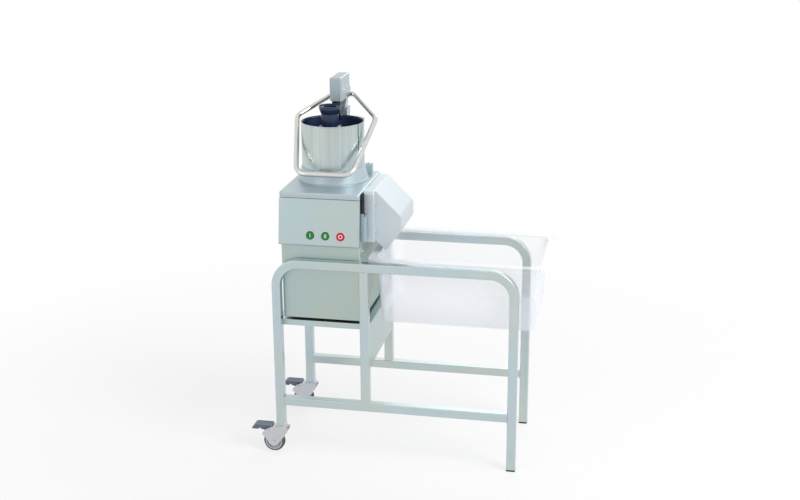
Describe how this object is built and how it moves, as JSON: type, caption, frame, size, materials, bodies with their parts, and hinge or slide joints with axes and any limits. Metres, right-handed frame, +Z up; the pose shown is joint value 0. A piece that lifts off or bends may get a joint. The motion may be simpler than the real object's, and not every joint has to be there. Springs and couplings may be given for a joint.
{
  "type": "vegetable preparation machine",
  "caption": "Floor standing vegetable cutter on a wheeled stand: lever operated pusher hopper, tilting lid, cutting chamber, discharge chute, push buttons and a hanging container.",
  "frame": {"origin": "floor level, at the centre of the bounding box seen from above", "axes": "+X along the stand from the machine towards the container, -Y the front with the control panel, +Z up"},
  "size_m": [1.018, 0.435, 1.285],
  "materials": {
    "stainless_sheet": "brushed stainless steel",
    "cast_aluminium": "fine blasted cast aluminium",
    "polished_steel": "polished stainless steel",
    "painted_cover": "satin light grey",
    "dark_plastic": "moulded dark navy plastic",
    "machined_steel": "machined steel",
    "zinc_steel": "zinc plated pressing",
    "pedal_plastic": "moulded plastic",
    "wheel_plastic": "moulded grey plastic",
    "tyre_rubber": "solid rubber tread",
    "black_rubber": "moulded rubber",
    "black_plastic": "moulded plastic",
    "bezel_plastic": "satin ring",
    "green_plastic": "smooth",
    "red_plastic": "smooth",
    "bracket_grey": "satin grey",
    "motor_paint": "enamel",
    "pulley_iron": "turned",
    "container_plastic": "translucent whitish plastic"
  },
  "bodies": {
    "stand": {"frame_front": "stainless_sheet", "frame_back": "stainless_sheet", "lower_rails": "stainless_sheet", "mid_posts": "stainless_sheet", "machine_shelf": "stainless_sheet", "foot_caps": "black_rubber", "castor_heads": "zinc_steel", "machine_feet": "black_rubber", "motor_housing": "stainless_sheet", "cable_gland": "black_plastic", "housing_base": "stainless_sheet", "bowl_casting": "cast_aluminium", "chute_collar": "cast_aluminium", "chute_hood": "cast_aluminium", "latch_bracket": "bracket_grey", "control_panel": "stainless_sheet", "button_bezels": "bezel_plastic", "button_switches": "black_plastic", "motor_stator": "motor_paint", "motor_mount": "machined_steel", "spindle_bearing": "machined_steel", "drive_belt": "black_rubber"},
    "front_castor": {"castor_front_fork": "zinc_steel"},
    "front_wheel": {"castor_front_wheel": "wheel_plastic", "castor_front_tyre": "tyre_rubber"},
    "front_pedal": {"castor_front_pedal": "pedal_plastic"},
    "back_castor": {"castor_back_fork": "zinc_steel"},
    "back_wheel": {"castor_back_wheel": "wheel_plastic", "castor_back_tyre": "tyre_rubber"},
    "back_pedal": {"castor_back_pedal": "pedal_plastic"},
    "start_one": {"button_one": "green_plastic"},
    "start_two": {"button_two": "green_plastic"},
    "stop": {"button_stop": "red_plastic"},
    "motor": {"motor_rotor": "machined_steel", "motor_pulley": "pulley_iron"},
    "cutter": {"spindle": "machined_steel", "spindle_pulley": "pulley_iron", "ejector_disc": "cast_aluminium", "slicing_disc": "polished_steel"},
    "cover": {"lid": "cast_aluminium", "hopper_flange": "cast_aluminium", "hopper_shell": "polished_steel", "hopper_liner": "dark_plastic", "hopper_clamps": "cast_aluminium", "lever_column": "cast_aluminium"},
    "latch": {"lid_latch": "dark_plastic"},
    "lever": {"lever_cover": "painted_cover", "lever_plates": "polished_steel", "lever_arms": "machined_steel", "lever_pins": "machined_steel", "lever_handle": "polished_steel"},
    "pusher": {"pusher_piston": "dark_plastic", "pusher_tube": "dark_plastic", "pusher_yoke": "dark_plastic"},
    "small_pusher": {"hand_pusher": "dark_plastic"},
    "container": {"bin": "container_plastic"}
  },
  "joints": [
    {"name": "front_castor_swivel", "type": "hinge", "parent": "stand", "child": "front_castor", "pos_m": [-0.405, -0.195, 0.094], "axis": [0, 0, 1], "continuous": true},
    {"name": "front_wheel_spin", "type": "hinge", "parent": "front_castor", "child": "front_wheel", "pos_m": [-0.433, -0.195, 0.0375], "axis": [0, 1, 0], "continuous": true},
    {"name": "front_brake", "type": "hinge", "parent": "front_castor", "child": "front_pedal", "pos_m": [-0.451, -0.195, 0.08], "axis": [0, -1, 0], "range_deg": [0, 10]},
    {"name": "back_castor_swivel", "type": "hinge", "parent": "stand", "child": "back_castor", "pos_m": [-0.405, 0.195, 0.094], "axis": [0, 0, 1], "continuous": true},
    {"name": "back_wheel_spin", "type": "hinge", "parent": "back_castor", "child": "back_wheel", "pos_m": [-0.433, 0.195, 0.0375], "axis": [0, 1, 0], "continuous": true},
    {"name": "back_brake", "type": "hinge", "parent": "back_castor", "child": "back_pedal", "pos_m": [-0.451, 0.195, 0.08], "axis": [0, -1, 0], "range_deg": [0, 10]},
    {"name": "start_one_press", "type": "slide", "parent": "stand", "child": "start_one", "axis": [0, 0.9887, -0.1502], "range_m": [0, 0.003], "stiffness_N_per_m": 600},
    {"name": "start_two_press", "type": "slide", "parent": "stand", "child": "start_two", "axis": [0, 0.9887, -0.1502], "range_m": [0, 0.003], "stiffness_N_per_m": 600},
    {"name": "stop_press", "type": "slide", "parent": "stand", "child": "stop", "axis": [0, 0.9887, -0.1502], "range_m": [0, 0.003], "stiffness_N_per_m": 600},
    {"name": "cutter_spin", "type": "hinge", "parent": "stand", "child": "cutter", "pos_m": [-0.2525, 0.008, 0.8], "axis": [0, 0, 1], "continuous": true},
    {"name": "motor_spin", "type": "hinge", "parent": "stand", "child": "motor", "pos_m": [-0.2525, 0.095, 0.62], "axis": [0, 0, 1], "continuous": true},
    {"name": "lid_hinge", "type": "hinge", "parent": "stand", "child": "cover", "pos_m": [-0.2525, 0.166, 0.93], "axis": [-1, 0, 0], "range_deg": [0, 75]},
    {"name": "latch_hinge", "type": "hinge", "parent": "stand", "child": "latch", "pos_m": [-0.1097, -0.153, 0.873], "axis": [0, 1, 0], "range_deg": [0, 70]},
    {"name": "lever_hinge", "type": "hinge", "parent": "cover", "child": "lever", "pos_m": [-0.2525, 0.196, 1.222], "axis": [-1, 0, 0], "range_deg": [0, 65.9]},
    {"name": "pusher_slide", "type": "slide", "parent": "cover", "child": "pusher", "axis": [0, 0, 1], "range_m": [0, 0.14]},
    {"name": "small_pusher_slide", "type": "slide", "parent": "pusher", "child": "small_pusher", "axis": [0, 0, 1], "range_m": [0, 0.2]},
    {"name": "bin_slide", "type": "slide", "parent": "stand", "child": "container", "axis": [1, 0, 0], "range_m": [0, 0.15]}
  ],
  "couplings": [
    {"joint": "motor_spin", "follows": "cutter_spin", "ratio": 2.7273},
    {"joint": "pusher_slide", "follows": "lever_hinge", "m_per_rad": 0.1217}
  ]
}
